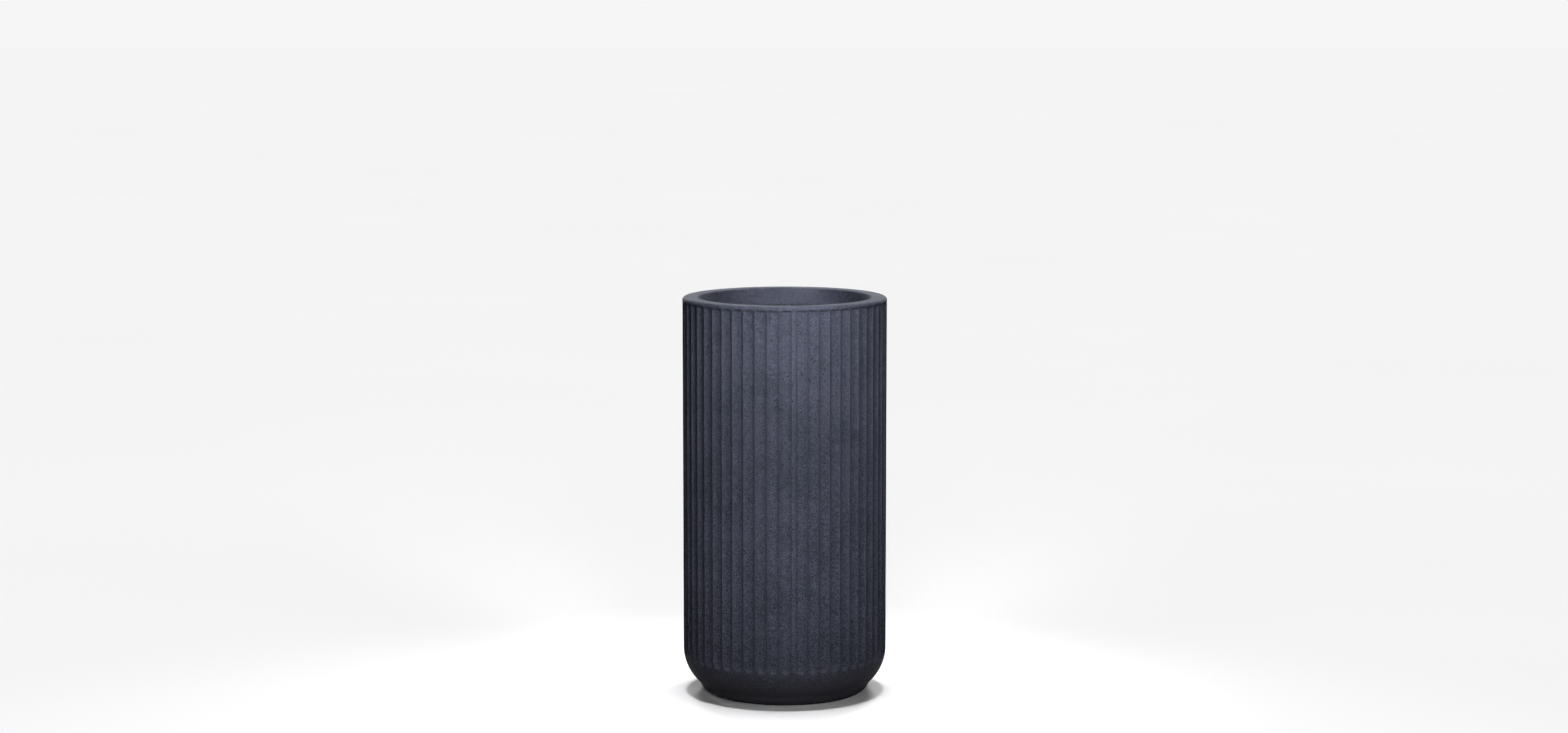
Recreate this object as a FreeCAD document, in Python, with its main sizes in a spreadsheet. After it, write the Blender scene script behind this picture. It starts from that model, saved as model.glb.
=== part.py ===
"""Tall fluted fibreglass planter, laid up in a split mould and bonded together.

Frame: millimetres, +Z up, origin on the ground under the centre of the planter.
The viewer stands on the -Y side.  Every piece is a body of its own, and every
size in it is bound to a cell of the "sizes" sheet, so that pieces that fit
together take their places from the same values.
"""
import FreeCAD, Part
import os
import Sketcher

# ---------------------------------------------------------------- driving sizes
# millimetres, degrees and counts: alias, value, what it is
SIZES = (
    ("overall_height", 600.0, "ground to the top of the rim"),
    ("outer_radius", 153.5, "axis to the arrises of the flutes"),
    ("laminate", 3.8, "thickness left behind the deepest line of a flute"),
    ("seam_turn", 4.9, "how far the front mould seam stands right of the front"),
    ("seam_land", 4.2, "width of the plain land left along each mould seam"),
    ("flutes_left", 26, "flutes in the half left of the front seam"),
    ("flutes_right", 27, "flutes in the half right of the front seam"),
    ("flute_depth", 4.2, "depth of a flute below the arrises"),
    ("arris_width", 0.6, "flat left between two flutes"),
    ("flute_foot_level", 53.0, "level where the flutes die out above the ground"),
    ("flute_foot_sweep", 35.0, "radius on which a flute runs out at its foot"),
    ("flute_head_margin", 0.5, "plain strip between the flute heads and the rim joint"),
    ("flute_head_sweep", 6.0, "radius on which a flute runs out at its head"),
    ("cutter_overrun", 1.0, "how far the flute cutter leaves the surface at both ends"),
    ("heel_radius", 67.7, "radius of the heel that turns the wall in to the foot"),
    ("flange_wall", 5.0, "thickness of the flange under the wall that takes the floor"),
    ("flange_reveal", 5.0, "how far the flange shows inside the foot ring"),
    ("rim_plate", 5.0, "thickness of the flat rim"),
    ("rim_round", 4.5, "rounding of the outer edge of the rim"),
    ("mouth_round", 2.5, "rounding of the inner edge of the rim"),
    ("lip_depth", 27.0, "depth of the lip that turns down inside the mouth"),
    ("lip_wall", 5.0, "thickness of the lip"),
    ("lip_channel", 7.7, "room between the lip and the rib outside it"),
    ("spigot_depth", 8.0, "depth of the rib that centres the rim in the wall"),
    ("spigot_wall", 3.5, "thickness of that rib"),
    ("bond_gap", 0.3, "resin line between curved bonded faces"),
    ("foot_height", 16.0, "height of the foot ring"),
    ("foot_round", 20.4, "radius that rounds the foot ring in to the ground"),
    ("foot_step", 0.5, "how far the foot ring stands in from the heel above it"),
    ("foot_land", 12.0, "width of the flat that the foot ring rests on"),
    ("foot_inner_round", 3.0, "rounding of the inner edge of that flat"),
    ("floor_wall", 6.0, "thickness of the floor disc"),
    ("floor_side_gap", 1.5, "room between the floor disc and the heel around it"),
    ("floor_edge_round", 2.0, "rounding of the upper edge of the floor disc"),
    ("strip_width", 45.0, "width of the glass strips laid over the mould seams"),
    ("strip_wall", 1.6, "thickness of these strips"),
    ("strip_head_gap", 4.0, "room between a strip and the rib of the rim"),
    ("strip_foot_gap", 4.0, "room between a strip and the floor disc, in height"),
    ("drain_radius", 13.0, "radius of the drain hole in the floor"),
    ("seat_radius", 21.0, "radius of the recess that takes the head of the plug"),
    ("seat_depth", 3.0, "depth of that recess"),
    ("plug_fit", 0.1, "room around the stem of the plug in the drain hole"),
    ("plug_head_fit", 0.8, "room around the head of the plug in its recess"),
    ("plug_head_wall", 3.6, "thickness of the head of the plug"),
    ("plug_head_round", 1.0, "rounding of the upper edge of the head"),
    ("plug_drop", 4.0, "how far the stem reaches below the floor"),
    ("plug_lead", 2.5, "bevel that leads the stem into the hole"),
    ("plug_bore_radius", 7.0, "radius of the hollow moulded up the stem"),
    ("plug_bore_roof", 3.0, "rubber left over that hollow, below the top of the head"),
    ("plug_neck_radius", 4.0, "radius of the neck of the finger knob"),
    ("plug_neck_rise", 5.0, "height of that neck above the head"),
    ("plug_knob_radius", 8.0, "radius of the finger knob"),
    ("plug_knob_wall", 5.0, "thickness of the finger knob"),
    ("plug_knob_round", 2.4, "rounding of both edges of the finger knob"),
)

# ------------------------------------------------------- places worked out of them
# Each is an expression over the sheet, and every piece that meets there uses it.
HEEL_AXIS = "(sizes.outer_radius - sizes.heel_radius)"
WALL_INSIDE = "(sizes.outer_radius - sizes.flute_depth - sizes.laminate)"
HEEL_INSIDE = f"({WALL_INSIDE} - {HEEL_AXIS})"
RIM_JOINT = "(sizes.overall_height - sizes.rim_plate)"
FLANGE_TOP = "(sizes.foot_height + sizes.flange_wall)"
FLOOR_TOP = f"({FLANGE_TOP} + sizes.floor_wall)"
LAND_TURN = "(sizes.seam_land / (pi * sizes.outer_radius) * 180)"
SPIGOT_FOOT = f"({RIM_JOINT} - sizes.spigot_depth)"
SPIGOT_OUTSIDE = f"({WALL_INSIDE} - sizes.bond_gap)"
SPIGOT_INSIDE = f"({SPIGOT_OUTSIDE} - sizes.spigot_wall)"
LIP_OUTSIDE = f"({SPIGOT_INSIDE} - sizes.lip_channel)"
MOUTH_RADIUS = f"({LIP_OUTSIDE} - sizes.lip_wall)"


def heel_outside(level):
    """Radius of the outside of the heel at a level below its start."""
    return f"({HEEL_AXIS} + sqrt(sizes.heel_radius^2 - (sizes.heel_radius - {level})^2))"


def heel_inside(level, inset="0"):
    """Radius of the inside of the heel at a level, less an inset."""
    sweep = f"({HEEL_INSIDE} - {inset})"
    return f"({HEEL_AXIS} + sqrt({sweep}^2 - (sizes.heel_radius - {level})^2))"


FOOT_TOP_RADIUS = f"({heel_outside('sizes.foot_height')} - sizes.foot_step)"
FOOT_SET_IN = "sqrt(sizes.foot_round^2 - (sizes.foot_round - sizes.foot_height)^2)"
FOOT_GROUND_RADIUS = f"({FOOT_TOP_RADIUS} - {FOOT_SET_IN})"
FOOT_INSIDE = f"({FOOT_GROUND_RADIUS} - sizes.foot_land - sizes.foot_inner_round)"
FLANGE_INSIDE = f"({FOOT_INSIDE} - sizes.flange_reveal)"
FLOOR_RADIUS = f"({heel_inside(FLANGE_TOP)} - sizes.floor_side_gap)"

doc = FreeCAD.newDocument("fluted_planter")
sheet = doc.addObject("Spreadsheet::Sheet", "sizes")
for row, (alias, value, meaning) in enumerate(SIZES, start=1):
    sheet.set(f"A{row}", meaning)
    sheet.set(f"B{row}", str(value))
    sheet.setAlias(f"B{row}", alias)
doc.recompute()


# ------------------------------------------------------------------ sketch helpers
def number(expression):
    """The value that an expression over the sheet has now."""
    return float(sheet.evalExpression(expression))


def origin_feature(body, role):
    """The origin plane or axis of a body that has this role."""
    return next(item for item in body.Origin.OriginFeatures if item.Role == role)


def new_body(name):
    """A body whose label names its file."""
    body = doc.addObject("PartDesign::Body", name)
    body.Label = name
    return body


def upright_sketch(body, name):
    """An empty sketch on the body's upright plane: x runs out, y runs up."""
    sketch = body.newObject("Sketcher::SketchObject", name)
    sketch.AttachmentSupport = [(origin_feature(body, "XZ_Plane"), "")]
    sketch.MapMode = "FlatFace"
    return sketch


def hold(sketch, kind, label, where, expression):
    """Hold a corner's distance from the origin at the value of an expression."""
    index = sketch.addConstraint(Sketcher.Constraint(kind, -1, 1, *where, number(expression)))
    sketch.renameConstraint(index, label)
    sketch.setExpression(f"Constraints.{label}", expression)


def draw_outline(sketch, corners):
    """Draw a closed outline whose corners and arcs follow the sheet.

    Each corner is (name, out, up) or, where the edge that reaches it is an arc,
    (name, out, up, (centre out, centre up, radius)).
    """
    spots = [FreeCAD.Vector(number(corner[1]), number(corner[2]), 0) for corner in corners]
    ends = []
    for place, corner in enumerate(corners):
        begin = spots[place - 1]
        end = spots[place]
        if len(corner) == 3:
            edge = sketch.addGeometry(Part.LineSegment(begin, end), False)
            ends.append(((edge, 1), (edge, 2)))
            continue
        middle_out, middle_up, radius = corner[3]
        middle = FreeCAD.Vector(number(middle_out), number(middle_up), 0)
        circle = Part.Circle(middle, FreeCAD.Vector(0, 0, 1), number(radius))
        onward = (begin - middle).cross(end - middle).z > 0
        first, last = (begin, end) if onward else (end, begin)
        arc = Part.ArcOfCircle(circle, circle.parameter(first), circle.parameter(last))
        edge = sketch.addGeometry(arc, False)
        ends.append(((edge, 1), (edge, 2)) if onward else ((edge, 2), (edge, 1)))
        index = sketch.addConstraint(Sketcher.Constraint("Radius", edge, number(radius)))
        sketch.renameConstraint(index, f"{corner[0]}_sweep")
        sketch.setExpression(f"Constraints.{corner[0]}_sweep", radius)
    for place, corner in enumerate(corners):
        this_end = ends[place][1]
        next_start = ends[(place + 1) % len(corners)][0]
        sketch.addConstraint(Sketcher.Constraint("Coincident", *this_end, *next_start))
        hold(sketch, "DistanceX", f"{corner[0]}_out", this_end, corner[1])
        hold(sketch, "DistanceY", f"{corner[0]}_up", this_end, corner[2])


def revolve(body, name, sketch, turn="360"):
    """Turn an upright outline about the axis, half of the turn to each side."""
    feature = body.newObject("PartDesign::Revolution", name)
    feature.Profile = sketch
    feature.ReferenceAxis = (sketch, ["V_Axis"])
    feature.Midplane = True
    feature.setExpression("Angle", turn)
    return feature


def turn_body(body, turn):
    """Turn a whole body about the planter's axis by an expression in degrees."""
    body.Placement = FreeCAD.Placement(FreeCAD.Vector(), FreeCAD.Vector(0, 0, 1), number(turn))
    body.setExpression(".Placement.Rotation.Angle", turn)


# -------------------------------------------------------------------- fluted wall
def wall_outline(body):
    """Cross-section of the wall: plain outside, heel, flange, heel inside, bore."""
    sketch = upright_sketch(body, f"{body.Name}_outline")
    heel = (HEEL_AXIS, "sizes.heel_radius", "sizes.heel_radius")
    bore_heel = (HEEL_AXIS, "sizes.heel_radius", HEEL_INSIDE)
    draw_outline(sketch, (
        ("wall_top_inside", WALL_INSIDE, RIM_JOINT),
        ("wall_top_outside", "sizes.outer_radius", RIM_JOINT),
        ("heel_start", "sizes.outer_radius", "sizes.heel_radius"),
        ("heel_end", heel_outside("sizes.foot_height"), "sizes.foot_height", heel),
        ("flange_under", FLANGE_INSIDE, "sizes.foot_height"),
        ("flange_over", FLANGE_INSIDE, FLANGE_TOP),
        ("bore_heel_end", heel_inside(FLANGE_TOP), FLANGE_TOP),
        ("bore_heel_start", WALL_INSIDE, "sizes.heel_radius", bore_heel),
    ))
    return sketch


def flute_outline(body, pitch):
    """Half outline of the round-nosed form that hollows one flute.

    It is turned about its own upright axis outside the wall.  The nose passes
    through both arrises of the flute, and an arc takes it out of the surface at
    the head and, on a longer sweep, at the foot.
    """
    gap_turn = "(sizes.arris_width / (pi * sizes.outer_radius) * 180)"
    half_turn = f"(({pitch} - {gap_turn}) / 2)"
    half_chord = f"(sizes.outer_radius * sin({half_turn}))"
    rise = f"(sizes.flute_depth - sizes.outer_radius * (1 - cos({half_turn})))"
    nose = f"(({rise}^2 + {half_chord}^2) / (2 * {rise}))"
    bottom = "(sizes.outer_radius - sizes.flute_depth)"
    clear = "(sizes.flute_depth + sizes.cutter_overrun)"
    exit_radius = "(sizes.outer_radius + sizes.cutter_overrun)"
    sweep = {}
    for end in ("foot", "head"):
        radius = f"sizes.flute_{end}_sweep"
        sweep[end] = {
            "radius": radius,
            "to_surface": f"sqrt({radius}^2 - ({radius} - sizes.flute_depth)^2)",
            "to_exit": f"sqrt({radius}^2 - ({radius} - {clear})^2)",
        }
    foot_start = f"(sizes.flute_foot_level + {sweep['foot']['to_surface']})"
    head_start = f"({RIM_JOINT} - sizes.flute_head_margin - {sweep['head']['to_surface']})"
    foot_exit = f"({foot_start} - {sweep['foot']['to_exit']})"
    head_exit = f"({head_start} + {sweep['head']['to_exit']})"
    foot_middle = (f"({bottom} + sizes.flute_foot_sweep)", foot_start, "sizes.flute_foot_sweep")
    head_middle = (f"({bottom} + sizes.flute_head_sweep)", head_start, "sizes.flute_head_sweep")
    axis = f"({bottom} + {nose})"
    sketch = upright_sketch(body, f"{body.Name}_flute_outline")
    draw_outline(sketch, (
        ("axis_foot", axis, foot_exit),
        ("foot_leave", exit_radius, foot_exit),
        ("foot_begin", bottom, foot_start, foot_middle),
        ("head_begin", bottom, head_start),
        ("head_leave", exit_radius, head_exit, head_middle),
        ("axis_head", axis, head_exit),
    ))
    low = FreeCAD.Vector(number(axis), number(foot_exit), 0)
    high = FreeCAD.Vector(number(axis), number(head_exit), 0)
    line = sketch.addGeometry(Part.LineSegment(low, high), True)
    for point, height, label in ((1, foot_exit, "low"), (2, head_exit, "high")):
        hold(sketch, "DistanceX", f"turning_axis_{label}_out", (line, point), axis)
        hold(sketch, "DistanceY", f"turning_axis_{label}_up", (line, point), height)
    return sketch


def make_wall_half(name, flutes, seam_start):
    """One half of the wall, from one mould seam to the other.

    In its own frame the first flute stands on the x axis and the others follow
    round to the left of it.  seam_start is where the half begins, in degrees.
    """
    body = new_body(name)
    pitch = f"((180 - {LAND_TURN}) / {flutes})"
    first_flute = f"({LAND_TURN} / 2 + {pitch} / 2)"
    shell = body.newObject("PartDesign::Revolution", f"{name}_shell")
    shell.Profile = wall_outline(body)
    shell.ReferenceAxis = (shell.Profile[0], ["V_Axis"])
    shell.Type = "TwoAngles"
    shell.setExpression("Angle", f"180 - {first_flute}")
    shell.setExpression("Angle2", first_flute)
    doc.recompute()
    plain_volume = body.Shape.Volume
    flute = body.newObject("PartDesign::Groove", f"{name}_flute")
    flute.Profile = flute_outline(body, pitch)
    flute.ReferenceAxis = (flute.Profile[0], ["Axis0"])
    flute.Angle = 360
    doc.recompute()
    one_flute = plain_volume - body.Shape.Volume
    round_wall = body.newObject("PartDesign::PolarPattern", f"{name}_flutes")
    round_wall.Originals = [flute]
    round_wall.Axis = (origin_feature(body, "Z_Axis"), [""])
    round_wall.setExpression("Occurrences", flutes)
    round_wall.setExpression("Angle", f"{pitch} * ({flutes} - 1)")
    body.Tip = round_wall
    turn_body(body, f"{seam_start} + sizes.seam_turn + {first_flute}")
    doc.recompute()
    cut = plain_volume - body.Shape.Volume
    expected = one_flute * number(flutes)
    print(f"{name}: one flute {one_flute:.0f} mm3, all {cut:.0f}, expected {expected:.0f}")
    return body


# ------------------------------------------------------------------ bonded pieces
def make_joint_strip(name, seam_at):
    """Glass-mat strip laid over a mould seam, from the rim down into the heel."""
    body = new_body(name)
    outside = f"({WALL_INSIDE} - sizes.bond_gap)"
    inside = f"({outside} - sizes.strip_wall)"
    head = f"({SPIGOT_FOOT} - sizes.strip_head_gap)"
    foot = f"({FLOOR_TOP} + sizes.strip_foot_gap)"
    behind = ("sizes.bond_gap", "(sizes.bond_gap + sizes.strip_wall)")
    outer_sweep = (HEEL_AXIS, "sizes.heel_radius", f"({HEEL_INSIDE} - {behind[0]})")
    inner_sweep = (HEEL_AXIS, "sizes.heel_radius", f"({HEEL_INSIDE} - {behind[1]})")
    sketch = upright_sketch(body, f"{name}_outline")
    draw_outline(sketch, (
        ("strip_head_inside", inside, head),
        ("strip_head_outside", outside, head),
        ("strip_bend_outside", outside, "sizes.heel_radius"),
        ("strip_foot_outside", heel_inside(foot, behind[0]), foot, outer_sweep),
        ("strip_foot_inside", heel_inside(foot, behind[1]), foot),
        ("strip_bend_inside", inside, "sizes.heel_radius", inner_sweep),
    ))
    revolve(body, f"{name}_strip", sketch, f"sizes.strip_width / (pi * {WALL_INSIDE}) * 180")
    turn_body(body, f"{seam_at} + sizes.seam_turn")
    return body


def make_rim_collar():
    """Flat rim with a rounded edge, a lip turned down inside and a centring rib."""
    body = new_body("rim_collar")
    top = "sizes.overall_height"
    rim_middle = "(sizes.outer_radius - sizes.rim_round)"
    rim_level = f"({top} - sizes.rim_round)"
    mouth_middle = f"({MOUTH_RADIUS} + sizes.mouth_round)"
    mouth_level = f"({top} - sizes.mouth_round)"
    lip_foot = f"({top} - sizes.lip_depth)"
    sketch = upright_sketch(body, "rim_outline")
    draw_outline(sketch, (
        ("mouth_edge", mouth_middle, top,
         (mouth_middle, mouth_level, "sizes.mouth_round")),
        ("rim_edge", rim_middle, top),
        ("rim_side", "sizes.outer_radius", rim_level,
         (rim_middle, rim_level, "sizes.rim_round")),
        ("rim_under", "sizes.outer_radius", RIM_JOINT),
        ("rib_root", SPIGOT_OUTSIDE, RIM_JOINT),
        ("rib_foot_outside", SPIGOT_OUTSIDE, SPIGOT_FOOT),
        ("rib_foot_inside", SPIGOT_INSIDE, SPIGOT_FOOT),
        ("channel_outside", SPIGOT_INSIDE, RIM_JOINT),
        ("channel_inside", LIP_OUTSIDE, RIM_JOINT),
        ("lip_foot_outside", LIP_OUTSIDE, lip_foot),
        ("lip_foot_inside", MOUTH_RADIUS, lip_foot),
        ("mouth_side", MOUTH_RADIUS, mouth_level),
    ))
    revolve(body, "rim_turned", sketch)
    return body


def make_foot_ring():
    """Cast ring under the wall, rounded in to the ground on the outside."""
    body = new_body("foot_ring")
    round_in = (FOOT_GROUND_RADIUS, "sizes.foot_round", "sizes.foot_round")
    inner_middle = f"({FOOT_INSIDE} + sizes.foot_inner_round)"
    inner_round = (inner_middle, "sizes.foot_inner_round", "sizes.foot_inner_round")
    sketch = upright_sketch(body, "foot_outline")
    draw_outline(sketch, (
        ("foot_top_inside", FOOT_INSIDE, "sizes.foot_height"),
        ("foot_top_outside", FOOT_TOP_RADIUS, "sizes.foot_height"),
        ("foot_ground_outside", FOOT_GROUND_RADIUS, "0", round_in),
        ("foot_ground_inside", inner_middle, "0"),
        ("foot_side_inside", FOOT_INSIDE, "sizes.foot_inner_round", inner_round),
    ))
    revolve(body, "foot_turned", sketch)
    return body


def make_floor_disc():
    """Laminated floor that lies on the flange of the wall, with its drain hole."""
    body = new_body("floor_disc")
    edge_middle = f"({FLOOR_RADIUS} - sizes.floor_edge_round)"
    edge_level = f"({FLOOR_TOP} - sizes.floor_edge_round)"
    seat_level = f"({FLOOR_TOP} - sizes.seat_depth)"
    sketch = upright_sketch(body, "floor_outline")
    draw_outline(sketch, (
        ("seat_rim", "sizes.seat_radius", FLOOR_TOP),
        ("floor_edge", edge_middle, FLOOR_TOP),
        ("floor_side", FLOOR_RADIUS, edge_level,
         (edge_middle, edge_level, "sizes.floor_edge_round")),
        ("floor_under", FLOOR_RADIUS, FLANGE_TOP),
        ("hole_under", "sizes.drain_radius", FLANGE_TOP),
        ("hole_over", "sizes.drain_radius", seat_level),
        ("seat_side", "sizes.seat_radius", seat_level),
    ))
    revolve(body, "floor_turned", sketch)
    return body


def make_drain_plug():
    """Rubber plug: head in its recess, hollow stem in the hole, finger knob."""
    body = new_body("drain_plug")
    head_foot = f"({FLOOR_TOP} - sizes.seat_depth)"
    head_top = f"({head_foot} + sizes.plug_head_wall)"
    head_radius = "(sizes.seat_radius - sizes.plug_head_fit)"
    head_middle = f"({head_radius} - sizes.plug_head_round)"
    head_level = f"({head_top} - sizes.plug_head_round)"
    stem_radius = "(sizes.drain_radius - sizes.plug_fit)"
    stem_foot = f"({FLANGE_TOP} - sizes.plug_drop)"
    roof = f"({head_top} - sizes.plug_bore_roof)"
    knob_foot = f"({head_top} + sizes.plug_neck_rise)"
    knob_top = f"({knob_foot} + sizes.plug_knob_wall)"
    knob_middle = "(sizes.plug_knob_radius - sizes.plug_knob_round)"
    knob_low = f"({knob_foot} + sizes.plug_knob_round)"
    knob_high = f"({knob_top} - sizes.plug_knob_round)"
    sketch = upright_sketch(body, "plug_outline")
    draw_outline(sketch, (
        ("knob_crown", "0", knob_top),
        ("knob_upper_edge", knob_middle, knob_top),
        ("knob_upper_side", "sizes.plug_knob_radius", knob_high,
         (knob_middle, knob_high, "sizes.plug_knob_round")),
        ("knob_lower_side", "sizes.plug_knob_radius", knob_low),
        ("knob_lower_edge", knob_middle, knob_foot,
         (knob_middle, knob_low, "sizes.plug_knob_round")),
        ("neck_top", "sizes.plug_neck_radius", knob_foot),
        ("neck_root", "sizes.plug_neck_radius", head_top),
        ("head_edge", head_middle, head_top),
        ("head_side", head_radius, head_level,
         (head_middle, head_level, "sizes.plug_head_round")),
        ("head_under", head_radius, head_foot),
        ("stem_root", stem_radius, head_foot),
        ("lead_start", stem_radius, f"({stem_foot} + sizes.plug_lead)"),
        ("lead_end", f"({stem_radius} - sizes.plug_lead)", stem_foot),
        ("bore_mouth", "sizes.plug_bore_radius", stem_foot),
        ("bore_roof_side", "sizes.plug_bore_radius", roof),
        ("bore_roof", "0", roof),
    ))
    revolve(body, "plug_turned", sketch)
    return body


# ------------------------------------------------------------------------- build
PIECES = (
    make_wall_half("fluted_half_right", "sizes.flutes_right", "-90"),
    make_wall_half("fluted_half_left", "sizes.flutes_left", "90"),
    make_joint_strip("joint_strip_front", "-90"),
    make_joint_strip("joint_strip_back", "90"),
    make_rim_collar(),
    make_foot_ring(),
    make_floor_disc(),
    make_drain_plug(),
)
doc.recompute()

faults = [item.Name for item in doc.Objects if {"Invalid", "Error"} & set(item.State)]
faults += [piece.Label for piece in PIECES if piece.Shape.isNull() or not piece.Shape.isValid()]
if faults:
    raise RuntimeError(f"these objects failed: {', '.join(faults)}")

os.makedirs("parts", exist_ok=True)
for piece in PIECES:
    piece.Shape.exportStep(f"parts/{piece.Label}.step")
    box = piece.Shape.optimalBoundingBox()
    print(f"{piece.Label}: {len(piece.Shape.Solids)} solid, {piece.Shape.Volume / 1000:.1f} cm3,"
          f" z {box.ZMin:.1f} to {box.ZMax:.1f}, radius {box.XMax:.1f}")
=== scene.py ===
"""Looks of a tall fluted fibreglass planter, built round its packed construction.

Everything is in metres in the frame of the construction: +Z up, the ground at
zero, the viewer of the photograph on the -Y side.  Every piece is drawn as an
upright outline and turned about the planter's axis, as its pattern was on the
lathe.  The wall is then fluted, and the hand-made edges are left uneven.
"""
import logging
import math
from dataclasses import dataclass
from enum import Enum
from typing import Callable, ClassVar, Iterable, Sequence

import bmesh
import bpy
from mathutils import Matrix, Vector, noise


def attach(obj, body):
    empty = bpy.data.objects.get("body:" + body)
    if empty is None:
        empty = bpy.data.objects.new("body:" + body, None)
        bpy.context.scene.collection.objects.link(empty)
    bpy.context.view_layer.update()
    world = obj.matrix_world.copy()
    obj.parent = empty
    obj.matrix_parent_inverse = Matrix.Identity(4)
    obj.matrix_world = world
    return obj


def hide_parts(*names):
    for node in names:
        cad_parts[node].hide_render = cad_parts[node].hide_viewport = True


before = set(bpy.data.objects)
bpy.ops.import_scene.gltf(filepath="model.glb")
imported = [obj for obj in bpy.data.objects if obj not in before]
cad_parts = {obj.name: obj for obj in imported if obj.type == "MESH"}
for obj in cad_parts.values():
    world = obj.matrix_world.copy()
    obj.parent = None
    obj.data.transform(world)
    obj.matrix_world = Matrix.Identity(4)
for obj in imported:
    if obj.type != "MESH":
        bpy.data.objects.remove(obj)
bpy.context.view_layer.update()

FULL_TURN = math.tau
AXIS = Vector((0.0, 0.0, 1.0))
WELD = 2e-6
LOG = logging.getLogger("planter")
SOFT_ENDS = {"interpolation_type": "SMOOTHSTEP"}
Source = bpy.types.Node | bpy.types.NodeSocket


class Body(Enum):
    """Bodies of the construction that pieces move with."""

    PLANTER = "planter"
    PLUG = "plug"


class Slot(Enum):
    """Material slots of the record."""

    GELCOAT = "stone_gelcoat"
    LAMINATE = "raw_laminate"
    RUBBER = "plug_rubber"


# ---------------- small tools
def linear(code: str) -> tuple[float, float, float, float]:
    """Turn an sRGB hex colour into the linear values that a shader takes.

    Args:
        code: Colour as "#rrggbb".

    Returns:
        Linear red, green and blue, and an alpha of one.
    """
    shares = [int(code[at:at + 2], 16) / 255 for at in (1, 3, 5)]
    curve = [s / 12.92 if s <= 0.04045 else ((s + 0.055) / 1.055) ** 2.4 for s in shares]
    return (curve[0], curve[1], curve[2], 1.0)


def per_metre(size_mm: float) -> float:
    """Texture scale whose features are this many millimetres across."""
    return 1000.0 / size_mm


def add_node(tree: bpy.types.NodeTree, kind: str,
             inputs: dict[str | int, object] | Sequence[object] = (),
             **settings: object) -> bpy.types.Node:
    """Add a shader node with its settings, its values and its links.

    Args:
        tree: Node tree that the node goes into.
        kind: Type of the node, without "ShaderNode" before it.
        inputs: What its inputs take, in their order, or by name or number: a value,
            another node's output, or another node for the first output it has in use.
        settings: Properties of the node itself.

    Returns:
        The new node.
    """
    node = tree.nodes.new("ShaderNode" + kind)
    for name, value in settings.items():
        setattr(node, name, value)
    taken = inputs if isinstance(inputs, dict) else dict(enumerate(inputs))
    for socket, value in taken.items():
        if isinstance(value, bpy.types.Node):
            value = next(output for output in value.outputs if output.enabled)
        if isinstance(value, bpy.types.NodeSocket):
            tree.links.new(value, node.inputs[socket])
        else:
            node.inputs[socket].default_value = value
    return node


def soft_minimum(first: float, second: float, blend: float) -> float:
    """The smaller of two values, with the change-over rounded.

    Args:
        first: One value.
        second: The other value.
        blend: Difference below which the two run into each other.

    Returns:
        The blended smaller value.
    """
    share = max(blend - abs(first - second), 0.0) / blend
    return min(first, second) - share * share * blend / 4


def uneven(place: Vector, size: float, seed: float = 0.0) -> float:
    """Smooth noise from -1 to 1 whose bumps are this many metres across."""
    return noise.noise(place / size + Vector((seed, seed, seed)))


def set_radius(place: Vector, radius: float) -> Vector:
    """The same place, moved straight out or in to this distance from the axis."""
    factor = radius / max(math.hypot(place.x, place.y), 1e-9)
    return Vector((place.x * factor, place.y * factor, place.z))


def put(name: str, data: bpy.types.ID) -> bpy.types.Object:
    """Put a new object in the scene.

    Args:
        name: Name of the object.
        data: Its mesh, light or camera.

    Returns:
        The object, at the origin.
    """
    thing = bpy.data.objects.new(name, data)
    bpy.context.scene.collection.objects.link(thing)
    return thing


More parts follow.
